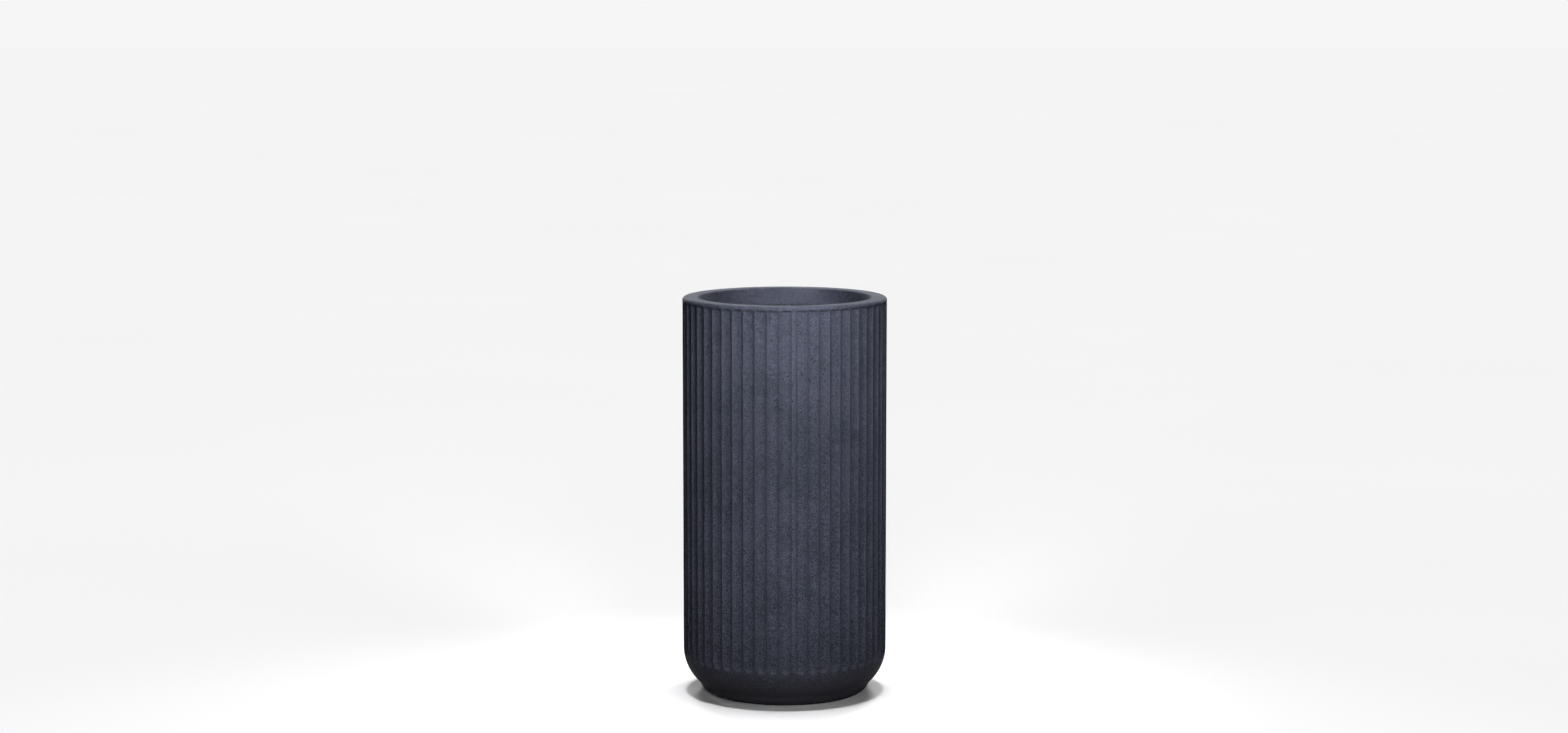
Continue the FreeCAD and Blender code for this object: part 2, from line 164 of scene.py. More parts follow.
# ---------------- turned shapes
class TurnedShape:
    """A mesh drawn as an upright outline and turned about the planter's axis."""

    def __init__(self, out: float, up: float) -> None:
        """Start the outline.

        Args:
            out: Distance from the axis.
            up: Height above the ground.
        """
        self.mesh = bmesh.new()
        self.tip = self.mesh.verts.new((out, 0.0, up))

    def line(self, out: float, up: float, steps: int = 1) -> "TurnedShape":
        """Draw a straight stretch.

        Args:
            out: Distance from the axis where it ends.
            up: Height where it ends.
            steps: Number of equal edges in it.

        Returns:
            The shape, so that stretches follow one another.
        """
        begin = self.tip.co.copy()
        end = Vector((out, 0.0, up))
        for step in range(1, steps + 1):
            self.tip = bmesh.ops.extrude_vert_indiv(self.mesh, verts=[self.tip])["verts"][0]
            self.tip.co = begin.lerp(end, step / steps)
        return self

    def arc(self, out: float, up: float, degrees: float, steps: int) -> "TurnedShape":
        """Draw an arc.

        Args:
            out: Distance of its centre from the axis.
            up: Height of its centre.
            degrees: Turn, positive from outwards to upwards.
            steps: Number of edges in it.

        Returns:
            The shape.
        """
        swept = bmesh.ops.spin(self.mesh, geom=[self.tip], cent=(out, 0.0, up),
                               axis=(0.0, -1.0, 0.0), angle=math.radians(degrees), steps=steps)
        self.tip = next(v for v in swept["geom_last"] if isinstance(v, bmesh.types.BMVert))
        return self

    def turn(self, start: float, stretches: Iterable[tuple[float, int, int]]) -> "TurnedShape":
        """Turn the outline about the axis, stretch by stretch, and weld the stretches.

        A stretch that repeats is turned once and then copied round, which is much
        quicker than turning all of it.  Where the turn isn't a full one, the two
        open ends are closed.

        Args:
            start: Where the turn starts, in degrees from +X towards +Y.
            stretches: Degrees, number of faces and number of repeats of each.

        Returns:
            The shape.
        """
        bmesh.ops.remove_doubles(self.mesh, verts=self.mesh.verts, dist=WELD)
        outline = [*self.mesh.verts, *self.mesh.edges]
        for degrees, steps, repeats in stretches:
            ready = len(self.mesh.faces)
            line = bmesh.ops.duplicate(self.mesh, geom=outline)["geom"]
            corners = [v for v in line if isinstance(v, bmesh.types.BMVert)]
            bmesh.ops.rotate(self.mesh, verts=corners,
                             matrix=Matrix.Rotation(math.radians(start), 3, AXIS))
            bmesh.ops.spin(self.mesh, geom=line, axis=AXIS, angle=math.radians(degrees),
                           steps=steps)
            if repeats > 1:
                self.mesh.faces.ensure_lookup_table()
                bmesh.ops.spin(self.mesh, geom=self.mesh.faces[ready:], axis=AXIS,
                               angle=math.radians(degrees * (repeats - 1)), steps=repeats - 1,
                               use_duplicate=True)
            start += degrees * repeats
        drawn = [v for v in outline if isinstance(v, bmesh.types.BMVert)]
        bmesh.ops.delete(self.mesh, geom=drawn, context="VERTS")
        bmesh.ops.remove_doubles(self.mesh, verts=self.mesh.verts, dist=WELD)
        ends = [e for e in self.mesh.edges if e.is_boundary]
        bmesh.ops.holes_fill(self.mesh, edges=ends, sides=0)
        return self

    def shift(self, move: Callable[[Vector], Vector]) -> "TurnedShape":
        """Move each corner to where a function of its place puts it.

        Args:
            move: Gives the new place.

        Returns:
            The shape.
        """
        for vertex in self.mesh.verts:
            vertex.co = move(vertex.co)
        return self

    def mark(self, name: str, share: Callable[[Vector], float]) -> "TurnedShape":
        """Write an attribute that the finish reads.

        Args:
            name: Name of the attribute.
            share: Gives its value at a place.

        Returns:
            The shape.
        """
        layer = self.mesh.verts.layers.float.new(name)
        for vertex in self.mesh.verts:
            vertex[layer] = share(vertex.co)
        return self

    def unroll(self, radius: float, seam: float) -> "TurnedShape":
        """Give the shape a UV map in metres that lies flat on its surface.

        Args:
            radius: Distance from the axis at which the map is true to size.
            seam: Where the map of the upright faces starts and ends, in degrees.

        Returns:
            The shape.
        """
        self.mesh.normal_update()
        layer = self.mesh.loops.layers.uv.new("surface")
        start = math.radians(seam)
        for face in self.mesh.faces:
            middle = face.calc_center_median()
            turn = (math.atan2(middle.y, middle.x) - start) % FULL_TURN
            for loop in face.loops:
                place = loop.vert.co
                if abs(face.normal.z) > 0.75:
                    loop[layer].uv = place.xy
                    continue
                ahead = math.atan2(place.y, place.x) - start - turn
                ahead = (ahead + math.pi) % FULL_TURN - math.pi
                loop[layer].uv = ((turn + ahead) * radius, place.z)
        return self

    def finish(self, name: str, crease: float = 38.0) -> bpy.types.Object:
        """Close the mesh and make the piece.

        Args:
            name: Name of the piece.
            crease: Edges that turn by more degrees than this stay sharp.

        Returns:
            The piece, at the origin.
        """
        bmesh.ops.remove_doubles(self.mesh, verts=self.mesh.verts, dist=WELD)
        bmesh.ops.recalc_face_normals(self.mesh, faces=self.mesh.faces)
        data = bpy.data.meshes.new(name)
        self.mesh.to_mesh(data)
        self.mesh.free()
        data.shade_smooth()
        data.set_sharp_from_angle(angle=math.radians(crease))
        return put(name, data)


# ---------------- finishes
def new_material(name: str) -> tuple[bpy.types.Material, bpy.types.NodeTree, Source]:
    """Start a material.

    Args:
        name: Name of the material.

    Returns:
        The material, its tree, and the source of a place's coordinates on it.
    """
    material = bpy.data.materials.new(name)
    material.use_nodes = True
    tree = material.node_tree
    tree.nodes.clear()
    return material, tree, add_node(tree, "TexCoord").outputs["Object"]


def lay_coats(tree: bpy.types.NodeTree, colour: object,
              coats: Iterable[tuple[Source, object, object]]) -> Source:
    """Lay coats of colour over one another.

    Args:
        tree: Node tree.
        colour: Colour that the first coat goes on.
        coats: Where each coat lies, how much of it shows there, and its colour.

    Returns:
        The source of the colour that is seen.
    """
    for where, shown, over in coats:
        share = add_node(tree, "Math", (where, shown), operation="MULTIPLY")
        colour = add_node(tree, "Mix", {0: share, 6: colour, 7: over}, data_type="RGBA")
    return colour


def add_up(tree: bpy.types.NodeTree, parts: Iterable[tuple[Source, object]]) -> Source:
    """Add up patterns, such as those of a relief.

    Args:
        tree: Node tree.
        parts: Each pattern, and what it is multiplied by.

    Returns:
        The source of the sum.
    """
    total = 0.0
    for pattern, height in parts:
        total = add_node(tree, "Math", (pattern, height, total), operation="MULTIPLY_ADD")
    return total


def specks(tree: bpy.types.NodeTree, place: Source, spacing_mm: float, radius_mm: float,
           kept: float) -> Source:
    """Scatter small round spots of unequal size.

    Args:
        tree: Node tree.
        place: Source of the coordinates.
        spacing_mm: Distance between neighbouring spots before some are left out.
        radius_mm: Radius of the largest spots.
        kept: Share of the spots that stay.

    Returns:
        The source of the spots, one inside them and zero outside.
    """
    cells = add_node(tree, "TexVoronoi", {"Vector": place, "Scale": per_metre(spacing_mm)})
    chance = add_node(tree, "SeparateColor", (cells.outputs["Color"],))
    stays = add_node(tree, "MapRange", (chance, 1.0 - kept, 1.15 - kept), **SOFT_ENDS)
    reach = add_node(tree, "Math", (stays, radius_mm / spacing_mm), operation="MULTIPLY")
    inside = add_node(tree, "Math", (reach, cells.outputs["Distance"]), operation="SUBTRACT")
    return add_node(tree, "MapRange", (inside, 0.0, 0.35 * radius_mm / spacing_mm),
                    **SOFT_ENDS)


def chopped_mat(tree: bpy.types.NodeTree, surface: Source) -> Source:
    """Bundles of chopped glass strand that lie every way in the resin.

    Real bundles are about 50 mm long and 1 mm wide.  Here they are 30 mm long
    and 1.6 mm wide, so that they still show in a render of the whole planter.

    Args:
        tree: Node tree.
        surface: Source of coordinates in metres that lie in the surface.

    Returns:
        The source of the strands' height.
    """
    height = 0.0
    for layer, patch_mm in enumerate((23.0, 31.0, 38.0)):
        moved = add_node(tree, "Mapping",
                         {"Vector": surface, "Location": (0.37 * layer, 0.61 * layer, 0.0)})
        cells = add_node(tree, "TexVoronoi", {"Vector": moved, "Scale": per_metre(patch_mm)},
                         voronoi_dimensions="2D")
        chance = add_node(tree, "SeparateColor", (cells.outputs["Color"],))
        angle = add_node(tree, "Math", (chance, FULL_TURN), operation="MULTIPLY")
        turned = add_node(tree, "VectorRotate", {"Vector": moved, "Angle": angle},
                          rotation_type="Z_AXIS")
        drawn = add_node(tree, "Mapping",
                         {"Vector": turned, "Scale": (per_metre(30.0), per_metre(1.6), 1.0)})
        strand = add_node(tree, "TexNoise", {"Vector": drawn, "Scale": 1.0, "Detail": 1.0},
                          noise_dimensions="2D")
        raised = add_node(tree, "MapRange", (strand, 0.5, 0.68, 0.0, 1.0 - 0.2 * layer),
                          **SOFT_ENDS)
        height = add_node(tree, "Math", (height, raised), operation="MAXIMUM")
    return height


@dataclass(frozen=True)
class StoneGelcoat:
    """Gelcoat filled with slate powder, sprayed in the mould and sanded back matt.

    The eye sees a blue-grey stone: cloudy patches, a fine grain, small dark
    blowholes and pale grit, and arrises a little paler where worn.  The sills where
    the flutes run out are painted paler as a highlight, and the foot and heel are
    painted darker and browner as shade.  Inside the pot the same colour lies over
    the bare chopped mat.
    """

    body: str = "#363a46"
    shade: str = "#2b2e38"
    slate: str = "#3a3846"
    blowhole: str = "#121317"
    grit: str = "#777b88"
    # paler colour for worn arrises and scuffed feet, and for the painted highlight on the sills
    wear_and_highlight: str = "#4a4d59"
    lining: str = "#2b2d34"
    # darker, browner tone painted over the foot and heel as shade
    dust_and_shade: str = "#333033"
    ior: float = 1.5

    def material(self) -> bpy.types.Material:
        """Build the material.

        Returns:
            The finished material.
        """
        made, tree, place = new_material("stone_filled_gelcoat_rubbed_matt")
        inside = add_node(tree, "Attribute", attribute_name="lining").outputs["Fac"]
        arris = add_node(tree, "Attribute", attribute_name="arris").outputs["Fac"]
        # clouds of unevenly mixed filler, 70 mm across
        clouds = add_node(tree, "TexNoise",
                          {"Vector": place, "Scale": per_metre(70.0), "Detail": 3.0})
        # mottling of the sprayed coat, 7 mm across
        mottle = add_node(tree, "TexNoise", {"Vector": place, "Scale": per_metre(7.0),
                                             "Detail": 3.0, "Roughness": 0.65})
        # powder grain is 0.3 mm in life and drawn 2.1 mm across, or it wouldn't show
        grain = add_node(tree, "TexNoise", {"Vector": place, "Scale": per_metre(2.1),
                                            "Detail": 2.0, "Roughness": 0.7})
        # blowholes up to 2.8 mm across, and grit up to 2 mm across
        holes = specks(tree, place, 6.5, 1.4, 0.55)
        moved = add_node(tree, "Mapping", {"Vector": place, "Location": (0.31, 0.17, 0.23)})
        grit = specks(tree, moved, 6.5, 1.0, 0.4)
        strands = chopped_mat(tree, add_node(tree, "UVMap", uv_map="surface"))

        cloudy = add_up(tree, ((clouds, 0.3), (mottle, 0.7)))
        full = add_node(tree, "MapRange", (cloudy, 0.38, 0.62), **SOFT_ENDS)
        slaty = add_node(tree, "MapRange", (clouds, 0.35, 0.65, 0.0, 0.3), **SOFT_ENDS)
        colour = lay_coats(tree, linear(self.shade), ((full, 1.0, linear(self.body)),
                                                      (slaty, 1.0, linear(self.slate))))
        # the coat is rougher low down, where the mould was sprayed last
        height = add_node(tree, "SeparateXYZ", (place,)).outputs["Z"]
        coarse = add_node(tree, "MapRange", (height, 0.08, 0.52, 1.5, 0.85), **SOFT_ENDS)
        fleck = add_node(tree, "MapRange", (grain, 0.35, 0.65, -0.3, 0.3), **SOFT_ENDS)
        grainy = add_node(tree, "Math", (fleck, coarse, 1.0), operation="MULTIPLY_ADD")
        colour = add_node(tree, "VectorMath", {0: colour, "Scale": grainy}, operation="SCALE")
        # arrises paler where worn, and sills painted paler as highlight; the arris attribute
        # carries both
        colour = lay_coats(tree, colour, ((arris, 1.0, linear(self.wear_and_highlight)),
                                          (grit, 0.17, linear(self.grit)),
                                          (holes, 0.85, linear(self.blowhole))))
        lined = lay_coats(tree, linear(self.lining), ((strands, 1.0, colour),))
        # painted shade low down: darker and browner at the foot and heel, thinning out 75 mm up
        dust_and_shade_pattern = add_node(tree, "MapRange", (height, 0.02, 0.075, 0.6, 0.0), **SOFT_ENDS)
        colour = lay_coats(tree, colour, ((inside, 0.8, lined), (dust_and_shade_pattern, 1.0, linear(self.dust_and_shade))))

        # a relief of one stands 0.45 mm high
        relief = add_up(tree, ((grain, 0.25), (mottle, 0.5), (holes, -0.8), (grit, 0.15),
                               (strands, inside)))
        bump = add_node(tree, "Bump", {"Height": relief, "Strength": 0.9, "Distance": 0.00045})
        rough = add_node(tree, "MapRange", (mottle, 0.3, 0.7, 0.78, 0.94), **SOFT_ENDS)
        # rubbing back leaves hardly any sheen
        shader = add_node(tree, "BsdfPrincipled",
                          {"Base Color": colour, "Roughness": rough, "Normal": bump,
                           "IOR": self.ior, "Specular IOR Level": 0.15})
        add_node(tree, "OutputMaterial", (shader,))
        return made


@dataclass(frozen=True)
class RawLaminate:
    """Polyester resin over chopped glass mat, laid by hand and left as it cured.

    The eye sees dark resin, a little glossy, with paler strands lying every way.
    """

    resin: str = "#33363c"
    strand: str = "#5d6068"
    dust_and_shade: str = "#77797c"
    ior: float = 1.55

    def material(self) -> bpy.types.Material:
        """Build the material.

        Returns:
            The finished material.
        """
        made, tree, place = new_material("hand_laid_polyester_glass_mat")
        strands = chopped_mat(tree, add_node(tree, "UVMap", uv_map="surface"))
        # pools of resin, 25 mm across
        pools = add_node(tree, "TexNoise",
                         {"Vector": place, "Scale": per_metre(25.0), "Detail": 4.0})
        # dust and sanding grit, drawn 1.5 mm across
        dust_and_shade_pattern = add_node(tree, "TexNoise",
                         {"Vector": place, "Scale": per_metre(1.5), "Detail": 3.0})
        wet = add_node(tree, "MapRange", (pools, 0.42, 0.6), **SOFT_ENDS)
        bare = add_node(tree, "MapRange", (pools, 0.35, 0.6, 1.0, 0.35), **SOFT_ENDS)
        dry = add_node(tree, "MapRange", (pools, 0.4, 0.6, 1.0, 0.3), **SOFT_ENDS)
        powder = add_node(tree, "MapRange", (dust_and_shade_pattern, 0.55, 0.75, 0.0, 0.4), **SOFT_ENDS)
        shown = add_node(tree, "Math", (strands, bare), operation="MULTIPLY")
        colour = lay_coats(tree, linear(self.resin), ((shown, 1.0, linear(self.strand)),
                                                      (powder, dry, linear(self.dust_and_shade))))
        # a relief of one stands 0.5 mm high
        relief = add_up(tree, ((shown, 1.0), (pools, 0.8), (dust_and_shade_pattern, 0.2)))
        bump = add_node(tree, "Bump", {"Height": relief, "Strength": 0.9, "Distance": 0.0005})
        rough = add_node(tree, "Math", (wet, -0.24, 0.74), operation="MULTIPLY_ADD")
        shader = add_node(tree, "BsdfPrincipled", {"Base Color": colour, "Roughness": rough,
                                                   "Normal": bump, "IOR": self.ior})
        add_node(tree, "OutputMaterial", (shader,))
        return made


@dataclass(frozen=True)
class PlugRubber:
    """Natural rubber with carbon black, press-moulded.

    The eye sees a satin black with a grey bloom in patches and a fine mould grain.
    """

    black: str = "#1b1b1d"
    bloom: str = "#3a3a3d"
    ior: float = 1.52

    def material(self) -> bpy.types.Material:
        """Build the material.

        Returns:
            The finished material.
        """
        made, tree, place = new_material("press_moulded_black_rubber")
        # bloom in patches 9 mm across, and the mould's blasted grain at 0.5 mm
        patches = add_node(tree, "TexNoise",
                           {"Vector": place, "Scale": per_metre(9.0), "Detail": 4.0})
        grain = add_node(tree, "TexNoise",
                         {"Vector": place, "Scale": per_metre(0.5), "Detail": 1.0})
        bloomed = add_node(tree, "MapRange", (patches, 0.45, 0.75, 0.0, 0.7), **SOFT_ENDS)
        colour = lay_coats(tree, linear(self.black), ((bloomed, 1.0, linear(self.bloom)),))
        # a relief of one stands 0.05 mm high
        bump = add_node(tree, "Bump", {"Height": grain, "Strength": 0.6, "Distance": 0.00005})
        rough = add_node(tree, "MapRange", (patches, 0.3, 0.7, 0.42, 0.62), **SOFT_ENDS)
        shader = add_node(tree, "BsdfPrincipled", {"Base Color": colour, "Roughness": rough,
                                                   "Normal": bump, "IOR": self.ior})
        add_node(tree, "OutputMaterial", (shader,))
        return made


# ---------------- sizes
@dataclass(frozen=True)
class Wall:
    """Sizes that the pieces of the planter share."""

    top: float = 0.600
    joint: float = 0.595
    outer: float = 0.1535
    bore: float = 0.1455
    heel: float = 0.0677
    foot_height: float = 0.016
    flange_top: float = 0.021
    floor_top: float = 0.027
    front_seam: float = -85.1
    back_seam: float = 94.9
    ease: float = 0.0002

    @property
    def heel_centre(self) -> float:
        """Distance of the heel's centre line from the axis."""
        return self.outer - self.heel

    @property
    def heel_bore(self) -> float:
        """Radius of the heel inside the wall."""
        return self.bore - self.heel_centre

    def heel_out(self, level: float, radius: float) -> float:
        """Distance from the axis of a heel of this radius, at a level below its start."""
        return self.heel_centre + math.sqrt(radius ** 2 - (self.heel - level) ** 2)

    def heel_angle(self, level: float, radius: float) -> float:
        """Degrees that a heel of this radius has turned in by this level."""
        return math.degrees(math.asin((self.heel - level) / radius))

    def skin(self, place: Vector) -> float:
        """Measure how far out a place lies, as in a wall that is straight all the way down.

        Args:
            place: Place on or inside the wall.

        Returns:
            Distance from the axis, or round the heel what it would be above the heel.
        """
        out = math.hypot(place.x, place.y)
        if place.z >= self.heel:
            return out
        return self.heel_centre + math.hypot(out - self.heel_centre, self.heel - place.z)

    def lining(self, place: Vector) -> float:
        """Tell the inner side of the wall from the outer side.

        Args:
            place: Place on the wall.

        Returns:
            One on the inner side, zero on the outer side.
        """
        # the flutes reach in past the middle of the wall, but not by 1 mm
        return float(self.skin(place) < (self.outer + self.bore) / 2 - 0.001)


def weathered(place: Vector, depth: float = 0.0003, size: float = 0.060) -> Vector:
    """Draw an outer surface in a little, as a mould that is rubbed by hand leaves it.

    Args:
        place: Place on the true surface.
        depth: Most that it is drawn in.
        size: How far the unevenness is across.

    Returns:
        The place on the uneven surface.
    """
    out = math.hypot(place.x, place.y)
    if out < 1e-6:
        return place
    return set_radius(place, out - depth / 2 * (1.0 + uneven(place, size)))


# ---------------- pieces
@dataclass
class Piece:
    """A piece of the planter, named as its node with "_look" after it."""

    name: str
    wall: Wall
    body: ClassVar[Body] = Body.PLANTER
    slot: ClassVar[Slot] = Slot.GELCOAT

    def build(self) -> bpy.types.Object:
        """Build the mesh, each piece in its own way."""
        raise NotImplementedError

    def dress(self, material: bpy.types.Material) -> None:
        """Build the piece, give it its finish and its body, and hide the node that it stands
        for.

        Args:
            material: Its finish.
        """
        piece = self.build()
        piece.data.materials.append(material)
        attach(piece, self.body.value)
        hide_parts(piece.name.removesuffix("_look"))
        LOG.info("%s: %d faces", piece.name, len(piece.data.polygons))


@dataclass
class FlutedHalf(Piece):
    """One half of the wall, from mould seam to mould seam, with its flutes."""

    flutes: int
    seam: float
    land: float = 1.5677
    arris: float = 0.0006
    depth: float = 0.0042
    foot_level: float = 0.053
    foot_sweep: float = 0.035
    head_margin: float = 0.0005
    head_sweep: float = 0.0045
    softness: float = 0.0003
    fullness: float = 3.2
    hand: float = 0.00012
    rub: float = 0.0012
    # reach of the painted highlight on the sills, upwards and across
    sill: float = 0.005
    sill_half: float = 0.0075
    finer_above: float = 0.588
    finer_below: float = 0.071
    flange_width: float = 0.0404
    columns: int = 20

    @property
    def pitch(self) -> float:
        """Degrees from one flute to the next."""
        return (180.0 - self.land) / self.flutes

    @property
    def arris_turn(self) -> float:
        """Degrees of the flat left between two flutes."""
        return math.degrees(self.arris / self.wall.outer)

    def deepest(self, level: float) -> float:
        """Follow a flute's deepest line, which rises in a curve at both ends.

        Args:
            level: Height.

        Returns:
            The line's distance from the axis.
        """
        shallower = 0.0
        from_head = self.wall.joint - self.head_margin - level
        for sweep, from_end in ((self.foot_sweep, level - self.foot_level),
                                (self.head_sweep, from_head)):
            reach = math.sqrt(sweep ** 2 - (sweep - self.depth) ** 2)
            along = min(max(reach - from_end, 0.0), sweep)
            shallower += sweep - math.sqrt(sweep ** 2 - along ** 2)
        return self.wall.outer - self.depth + shallower

    def flute_surface(self, off: float, level: float, extra: float) -> float:
        """Distance from the axis of a flute's surface, a little fuller than round.

        Args:
            off: Radians from the flute's middle line.
            level: Height.
            extra: How much shallower this flute is than the drawn one.

        Returns:
            The distance, or more than the wall's radius where nothing is cut.
        """
        half = math.radians(self.pitch - self.arris_turn) / 2
        chord = self.wall.outer * math.sin(half)
        rise = self.depth - self.wall.outer * (1.0 - math.cos(half))
        nose = (rise ** 2 + chord ** 2) / (2 * rise)
        middle = self.deepest(level) + extra
        radius = nose - self.depth + self.wall.outer - middle
        if radius <= nose - rise:
            return self.wall.outer + self.depth
        width = math.sqrt(radius ** 2 - (nose - rise) ** 2)
        aside = abs(self.wall.outer * math.sin(off)) / width
        return middle + (self.wall.outer - middle) * aside ** self.fullness

    def flute_at(self, place: Vector) -> tuple[int, float]:
        """Find the flute that a place belongs to.

        Args:
            place: Place on the wall.

        Returns:
            Number of the flute, and radians from its middle line.
        """
        turn = math.degrees(math.atan2(place.y, place.x)) - self.seam
        along = (turn + 1e-4) % 360.0 - self.land / 2
        index = min(max(math.floor(along / self.pitch), 0), self.flutes - 1)
        return index, math.radians(along - (index + 0.5) * self.pitch)

    def gather(self, place: Vector) -> Vector:
        """Slide the first and last column of each flute to the edges of the arrises.

        Args:
            place: Place on the evenly divided wall.

        Returns:
            The place with its column slid.
        """
        off = self.flute_at(place)[1]
        half = math.radians(self.pitch) / 2
        even = half * (1.0 - 2.0 / self.columns)
        if abs(abs(off) - even) > 1e-4:
            return place
        wanted = half - math.radians(self.arris_turn) / 2
        slide = math.copysign(wanted - even, off)
        return Matrix.Rotation(slide, 3, AXIS) @ place

    def carve(self, place: Vector) -> Vector:
        """Hollow the flutes and leave the surface a little uneven.

        Args:
            place: Place on the plain wall.

        Returns:
            The place on the fluted wall.
        """
        if self.wall.lining(place) or place.z <= self.wall.foot_height + 1e-5:
            return place
        out = math.hypot(place.x, place.y)
        index, off = self.flute_at(place)
        slip = uneven(Vector((index * 1.7, self.flutes, place.z * 4.0)), 1.0)
        cut = self.flute_surface(off, place.z, self.hand * (1.0 + slip))
        return weathered(set_radius(place, soft_minimum(out, cut, self.softness)))

    def wear_and_highlight(self, place: Vector) -> float:
        """Share of wear on the arrises, and of painted highlight on the sills where the flutes
        run out and face up to the light.

        Args:
            place: Place on the fluted wall.

        Returns:
            The share, which falls to zero 1.2 mm from an arris and 5 mm from a sill.
        """
        if self.wall.lining(place) or place.z > self.wall.joint - 0.003:
            return 0.0
        off = abs(self.flute_at(place)[1])
        away = abs(math.radians(self.pitch) / 2 - off) * self.wall.outer
        fluted = place.z > self.foot_level + 0.007
        arris = max(0.0, 1.0 - away / self.rub) if fluted else 0.0
        # painted highlight on the sill, where the run-out faces up to the light
        sill = max(0.0, 1.0 - abs(place.z - self.foot_level - 0.004) / self.sill)
        sill *= max(0.0, 1.0 - (off * self.wall.outer / self.sill_half) ** 2)
        return max(0.2 * arris, 0.5 * sill)

    def build(self) -> bpy.types.Object:
        """Build the mesh.

        Returns:
            The piece.
        """
        wall = self.wall
        flange = wall.heel_out(wall.foot_height, wall.heel) - self.flange_width
        shape = TurnedShape(wall.bore, wall.joint)
        shape.line(wall.outer - wall.ease, wall.joint, 2)
        shape.line(wall.outer, wall.joint - wall.ease)
        shape.line(wall.outer, self.finer_above, 9)
        shape.line(wall.outer, self.finer_below, 62)
        shape.line(wall.outer, wall.heel, 4)
        to_feet = wall.heel_angle(self.foot_level, wall.heel)
        to_foot = wall.heel_angle(wall.foot_height, wall.heel)
        shape.arc(wall.heel_centre, wall.heel, -to_feet, 15)
        shape.arc(wall.heel_centre, wall.heel, to_feet - to_foot, 12)
        shape.line(flange, wall.foot_height, 6)
        shape.line(flange, wall.flange_top)
        shape.line(wall.heel_out(wall.flange_top, wall.heel_bore), wall.flange_top, 5)
        shape.arc(wall.heel_centre, wall.heel,
                  wall.heel_angle(wall.flange_top, wall.heel_bore), 12)
        shape.line(wall.bore, wall.joint, 16)
        shape.turn(self.seam, ((self.land / 2, 2, 1), (self.pitch, self.columns, self.flutes),
                               (self.land / 2, 2, 1)))
        shape.shift(self.gather).shift(self.carve)
        # the arris attribute carries wear on the arrises and painted highlight on the sills
        shape.mark("lining", wall.lining).mark("arris", self.wear_and_highlight)
        return shape.unroll(wall.bore, wall.front_seam).finish(self.name)


@dataclass
class RimCollar(Piece):
    """Flat rim with its lip, whose lower edge is trimmed by hand."""

    mouth: float = 0.129
    edge_round: float = 0.0045
    mouth_round: float = 0.0025
    lip_depth: float = 0.027
    lip_wall: float = 0.005
    rib_outside: float = 0.1452
    rib_wall: float = 0.0035
    rib_depth: float = 0.008
    trimmed: float = 0.0045
    notch: float = 0.0011
    fray: float = 0.0006

    def ragged(self, place: Vector) -> Vector:
        """Leave the trimmed edge of the lip rough, and the rim a little uneven.

        Args:
            place: Place on the true shape.

        Returns:
            The place on the hand-finished shape.
        """
        out = math.hypot(place.x, place.y)
        foot = self.wall.top - self.lip_depth
        if out > self.mouth + self.lip_wall + 0.0005:
            return weathered(place) if out > self.wall.outer - 0.006 else place
        share = max(0.0, 1.0 - (place.z - foot) / self.trimmed)
        # crumbs 3 mm and 1.3 mm across, on waves of 11 mm
        rough = uneven(place, 0.0030) + 0.6 * uneven(place, 0.0013, 7.0)
        lift = self.notch * share * (0.6 + uneven(place, 0.011, 3.0) + 0.5 * rough)
        moved = set_radius(place, out + self.fray * share ** 0.5 * rough)
        moved.z += max(lift, 0.0)
        return moved

    def build(self) -> bpy.types.Object:
        """Build the mesh.

        Returns:
            The piece.
        """
        wall = self.wall
        foot = wall.top - self.lip_depth
        lip_outside = self.mouth + self.lip_wall
        rib_inside = self.rib_outside - self.rib_wall
        edge_middle = wall.outer - self.edge_round
        mouth_middle = self.mouth + self.mouth_round
        shape = TurnedShape(mouth_middle, wall.top)
        shape.line(edge_middle, wall.top, 6)
        shape.arc(edge_middle, wall.top - self.edge_round, -90.0, 10)
        shape.line(wall.outer, wall.joint + wall.ease)
        shape.line(wall.outer - wall.ease, wall.joint)
        shape.line(self.rib_outside, wall.joint, 2)
        shape.line(self.rib_outside, wall.joint - self.rib_depth, 2)
        shape.line(rib_inside, wall.joint - self.rib_depth)
        shape.line(rib_inside, wall.joint, 2)
        shape.line(lip_outside, wall.joint, 2)
        shape.line(lip_outside, foot + self.trimmed, 3)
        shape.line(lip_outside, foot, 5)
        shape.line(self.mouth, foot, 5)
        shape.line(self.mouth, foot + self.trimmed, 6)
        shape.line(self.mouth, wall.top - self.mouth_round, 4)
        shape.arc(mouth_middle, wall.top - self.mouth_round, -90.0, 7)
        shape.turn(0.0, ((12.0, 30, 30),)).shift(self.ragged)
        shape.mark("lining", self.backs).mark("arris", lambda place: 0.0)
        return shape.unroll(wall.outer, wall.front_seam).finish(self.name)

    def backs(self, place: Vector) -> float:
        """Mark where the mat is bare, under the plate and behind the lip.

        Args:
            place: Place on the collar.

        Returns:
            One where it is bare, zero elsewhere.
        """
        out = math.hypot(place.x, place.y)
        behind = self.mouth + 0.001 < out < self.wall.outer - 0.001
        trimmed = place.z < self.wall.top - self.lip_depth + 0.7 * self.trimmed
        return float(place.z < self.wall.joint + 0.0001 and (behind or trimmed))


